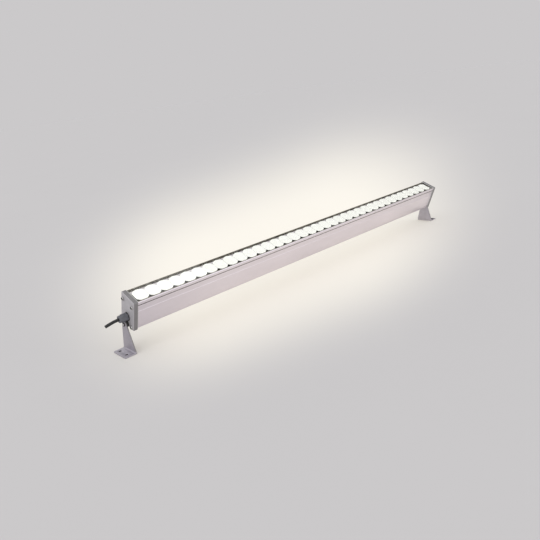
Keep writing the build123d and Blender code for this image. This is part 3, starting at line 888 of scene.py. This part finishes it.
class WASHER_OT_stage(bpy.types.Operator):
    """Adds the pale floor and backdrop, the soft lamps and the surrounding light"""

    bl_idname = "washer.stage"
    bl_label = "Add Stage"

    def execute(self, context):
        stage = context.scene.washer_stage
        floor = self.floor_material(stage)
        self.card(context, "floor", stage.floor_size, Matrix.Identity(4), floor)
        world = bpy.data.worlds.new("surroundings")
        context.scene.world = world
        world.use_nodes = True
        nodes = world.node_tree.nodes
        links = world.node_tree.links
        sky = nodes["Background"]
        sky.inputs["Color"].default_value = (1, 1, 1, 1)
        sky.inputs["Strength"].default_value = stage.sky_strength
        backdrop = nodes.new("ShaderNodeBackground")
        backdrop.inputs["Color"].default_value = (*stage.backdrop_colour, 1)
        path = nodes.new("ShaderNodeLightPath")
        mix = nodes.new("ShaderNodeMixShader")
        links.new(path.outputs["Is Camera Ray"], mix.inputs[0])
        links.new(sky.outputs[0], mix.inputs[1])
        links.new(backdrop.outputs[0], mix.inputs[2])
        links.new(mix.outputs[0], nodes["World Output"].inputs["Surface"])
        self.soft_light(context, "key_light", stage.key_direction, stage.key_strength, stage.light_spread)
        self.soft_light(context, "fill_light", stage.fill_direction, stage.fill_strength, stage.light_spread)
        flag_place = Vector(stage.flag_place)
        turned = flag_place.to_track_quat("Z", "Y").to_matrix().to_4x4()
        flag = self.card(context, "dark_flag", stage.flag_size, Matrix.Translation(flag_place) @ turned,
                         plain_plastic("black_cloth", (0.02, 0.02, 0.02), roughness=0.9))
        flag.visible_camera = False
        flag.visible_diffuse = False
        flag.visible_shadow = False
        return {"FINISHED"}

    def card(self, context, name, size, place, material):
        """A flat square stage piece."""
        bm = bmesh.new()
        bmesh.ops.create_grid(bm, x_segments=1, y_segments=1, size=size / 2, matrix=place)
        mesh = bpy.data.meshes.new(name)
        bm.to_mesh(mesh)
        bm.free()
        card = bpy.data.objects.new(name, mesh)
        context.scene.collection.objects.link(card)
        give(card, material)
        return card

    def soft_light(self, context, name, direction, strength, spread):
        """A wide sun that shines from a direction."""
        light = bpy.data.lights.new(name, "SUN")
        light.energy = strength
        light.angle = spread
        holder = bpy.data.objects.new(name, light)
        context.scene.collection.objects.link(holder)
        holder.matrix_world = Vector(direction).to_track_quat("Z", "Y").to_matrix().to_4x4()

    def floor_material(self, stage):
        """The pale floor, with a warm glow painted round the lit lamp as it spreads in the picture, rather than
        cast by its lenses. In reflections the painted glow is wider and lies further along the lamp."""
        material, nodes, links, shader = start_material("floor")
        grain = noise_pattern(nodes, links, scale=3.0, detail=3)
        tint_by(nodes, links, grain, stage.backdrop_colour, shader.inputs["Base Color"], spread=0.004)
        shader.inputs["Roughness"].default_value = 1.0
        shader.inputs["Specular IOR Level"].default_value = 0.0

        def maths(operation, first, second=0.0):
            step = nodes.new("ShaderNodeMath")
            step.operation = operation
            for socket, value in zip(step.inputs, (first, second)):
                if isinstance(value, bpy.types.NodeSocket):
                    links.new(value, socket)
                else:
                    socket.default_value = value
            return step.outputs[0]

        def along(vector, direction):
            dot = nodes.new("ShaderNodeVectorMath")
            dot.operation = "DOT_PRODUCT"
            links.new(vector, dot.inputs[0])
            dot.inputs[1].default_value = direction
            return dot.outputs["Value"]

        def square_past(distance, reach, softness):
            beyond = maths("MAXIMUM", maths("SUBTRACT", maths("ABSOLUTE", distance), reach), 0.0)
            return maths("POWER", maths("DIVIDE", beyond, softness), 2.0)

        # Where the lamp's two ends stand in the picture, as shares of half its width
        eye = Vector(stage.camera_place)
        forward = Vector(stage.camera_forward).normalized()
        right = Vector(stage.camera_right).normalized()
        above = right.cross(forward)
        zoom = stage.camera_lens / (SENSOR_WIDTH / 2)
        ends = []
        for station in (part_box("housing")[0].x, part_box("housing")[1].x):
            way = Vector((station, GLASS_MIDDLE.y, GLASS_MIDDLE.z)) - eye
            ends.append(Vector((way.dot(right), way.dot(above))) / way.dot(forward) * zoom)
        middle = (ends[0] + ends[1]) / 2
        run = (ends[1] - ends[0]).normalized()
        cross_run = Vector((-run.y, run.x))
        middle += stage.glow_lift * cross_run + stage.glow_shift * run

        place = nodes.new("ShaderNodeTexCoord")
        sight = nodes.new("ShaderNodeVectorMath")
        sight.operation = "SUBTRACT"
        links.new(place.outputs["Object"], sight.inputs[0])
        sight.inputs[1].default_value = eye
        depth = along(sight.outputs[0], forward)
        across = maths("SUBTRACT", maths("DIVIDE", along(sight.outputs[0], right * zoom), depth), middle.x)
        height = maths("SUBTRACT", maths("DIVIDE", along(sight.outputs[0], above * zoom), depth), middle.y)
        length = maths("ADD", maths("MULTIPLY", across, run.x), maths("MULTIPLY", height, run.y))
        width = maths("ADD", maths("MULTIPLY", across, cross_run.x), maths("MULTIPLY", height, cross_run.y))
        path = nodes.new("ShaderNodeLightPath")
        # In reflections the painted glow lies further along the lamp and spreads wider
        length = maths("SUBTRACT", length,
                       maths("MULTIPLY", path.outputs["Is Glossy Ray"], stage.glow_shift_in_metal))
        far = maths("ADD", square_past(length, stage.glow_length, stage.glow_end_softness),
                    square_past(width, stage.glow_width, stage.glow_softness))
        nearer = maths("MULTIPLY", path.outputs["Is Glossy Ray"], stage.glow_spread_in_metal)
        far = maths("MULTIPLY", far, maths("SUBTRACT", 1.0, nearer))
        glow = maths("EXPONENT", maths("MULTIPLY", maths("POWER", far, stage.glow_fall / 2), -1.0))
        nearest = 0.1
        glow = maths("MULTIPLY", glow, maths("GREATER_THAN", depth, nearest))
        seen = maths("MAXIMUM", path.outputs["Is Camera Ray"], path.outputs["Is Glossy Ray"])
        seen = maths("MAXIMUM", seen, path.outputs["Is Transmission Ray"])
        glow = maths("MULTIPLY", glow, seen)
        # The painted glow's light
        links.new(maths("MULTIPLY", glow, stage.glow_strength), shader.inputs["Emission Strength"])
        shader.inputs["Emission Color"].default_value = (*stage.glow_colour, 1)
        return material


class WASHER_PT_panel(bpy.types.Panel):
    """Lists the wall washer's steps and settings"""

    bl_idname = "WASHER_PT_panel"
    bl_label = "Wall Washer Light"
    bl_space_type = "VIEW_3D"
    bl_region_type = "UI"
    bl_category = "Wall Washer"

    def draw(self, context):
        for operator in OPERATORS:
            self.layout.operator(operator.bl_idname)
        for settings in (context.scene.washer_finish, context.scene.washer_shape, context.scene.washer_stage):
            box = self.layout.box()
            for name in settings.__annotations__:
                box.prop(settings, name)


OPERATORS = (
    WASHER_OT_camera,
    WASHER_OT_cable,
    WASHER_OT_metalwork,
    WASHER_OT_screws,
    WASHER_OT_gland,
    WASHER_OT_glazing,
    WASHER_OT_lenses,
    WASHER_OT_electrics,
    WASHER_OT_stage,
)
SETTINGS = {
    "washer_finish": WasherFinishSettings,
    "washer_shape": WasherShapeSettings,
    "washer_stage": WasherStageSettings,
}


def register():
    for name, group in SETTINGS.items():
        bpy.utils.register_class(group)
        setattr(bpy.types.Scene, name, bpy.props.PointerProperty(type=group))
    for operator in OPERATORS:
        bpy.utils.register_class(operator)
    bpy.utils.register_class(WASHER_PT_panel)


def unregister():
    bpy.utils.unregister_class(WASHER_PT_panel)
    for operator in reversed(OPERATORS):
        bpy.utils.unregister_class(operator)
    for name, group in SETTINGS.items():
        delattr(bpy.types.Scene, name)
        bpy.utils.unregister_class(group)


def main():
    register()
    bpy.ops.washer.camera()
    bpy.ops.washer.cable()
    bpy.ops.washer.metalwork()
    bpy.ops.washer.screws()
    bpy.ops.washer.gland()
    bpy.ops.washer.glazing()
    bpy.ops.washer.lenses()
    bpy.ops.washer.electrics()
    bpy.ops.washer.stage()


if __name__ == "__main__":
    main()
